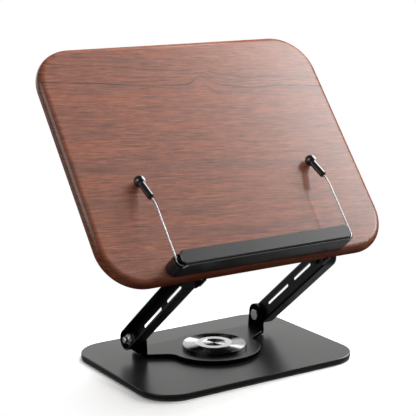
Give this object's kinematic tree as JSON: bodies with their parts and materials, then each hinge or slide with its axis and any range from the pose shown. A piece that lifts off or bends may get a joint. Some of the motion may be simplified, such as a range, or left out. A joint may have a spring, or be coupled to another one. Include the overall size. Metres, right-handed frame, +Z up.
{
  "type": "book stand",
  "caption": "Desktop book stand: a rounded wooden rest board with a page ledge and swinging wire page clips, carried by folding channel arms on a swivelling steel base.",
  "frame": {"origin": "on the desk plane, under the base's swivel axis", "axes": "+Z up along the swivel axis, +X to the reader's right, -Y towards the reader"},
  "size_m": [0.2975, 0.1888, 0.2924],
  "materials": {
    "pad_rubber": "fine matt anti-slip sheet",
    "base_black": "satin black powder coat",
    "frame_black": "satin black powder coat",
    "hinge_steel": "zinc plated steel",
    "spring_steel": "blackened spring steel",
    "washer_nylon": "black acetal",
    "stud_steel": "turned steel",
    "cap_black": "gloss black",
    "disc_metal": "spun dark anodised metal with circular grain",
    "ring_metal": "polished ring",
    "walnut": "satin lacquered reddish walnut, grain along the width",
    "ledge_black": "satin black moulding",
    "pin_steel": "blackened steel",
    "wire_steel": "bright spring wire",
    "tip_gloss": "gloss black moulded tip"
  },
  "bodies": {
    "base": {"base_pad": "pad_rubber", "base_plate": "base_black", "swivel_stud": "stud_steel", "thrust_washer": "washer_nylon", "preload_washer": "spring_steel", "stud_lock_nut": "stud_steel"},
    "swivel": {"swivel_plate": "frame_black", "swivel_cap": "cap_black", "cap_disc": "disc_metal", "cap_ring": "ring_metal", "cap_centre_disc": "disc_metal", "lower_pivot_bolts": "hinge_steel", "lower_lock_nuts": "hinge_steel", "lower_disc_springs": "spring_steel", "lower_flat_washers": "spring_steel", "lower_friction_washers": "washer_nylon"},
    "arms": {"arm_left": "frame_black", "arm_right": "frame_black"},
    "board": {"board": "walnut", "board_bracket_left": "frame_black", "board_bracket_right": "frame_black", "bracket_screws": "spring_steel", "ledge_screws": "spring_steel", "upper_pivot_bolts": "hinge_steel", "upper_lock_nuts": "hinge_steel", "upper_disc_springs": "spring_steel", "upper_flat_washers": "spring_steel", "upper_friction_washers": "washer_nylon", "ledge_body": "ledge_black", "ledge_cover": "ledge_black", "clip_pivot_pins": "pin_steel"},
    "clip_left": {"clip_wire_left": "wire_steel", "clip_tip_left": "tip_gloss"},
    "clip_right": {"clip_wire_right": "wire_steel", "clip_tip_right": "tip_gloss"}
  },
  "joints": [
    {"name": "swivel_turn", "type": "hinge", "parent": "base", "child": "swivel", "pos_m": [0, 0, 0.0075], "axis": [0, 0, 1], "continuous": true},
    {"name": "arm_hinge", "type": "hinge", "parent": "swivel", "child": "arms", "pos_m": [0, 0.02584, 0.02369], "axis": [1, 0, 0], "range_deg": [-40, 25]},
    {"name": "board_tilt", "type": "hinge", "parent": "arms", "child": "board", "pos_m": [0, -0.07071, 0.10198], "axis": [1, 0, 0], "range_deg": [-45, 35]},
    {"name": "clip_left_swing", "type": "hinge", "parent": "board", "child": "clip_left", "pos_m": [-0.09564, -0.10031, 0.12926], "axis": [0, -0.7833, 0.6217], "range_deg": [-75, 10]},
    {"name": "clip_right_swing", "type": "hinge", "parent": "board", "child": "clip_right", "pos_m": [0.07736, -0.10031, 0.12926], "axis": [0, -0.7833, 0.6217], "range_deg": [-10, 75]}
  ]
}
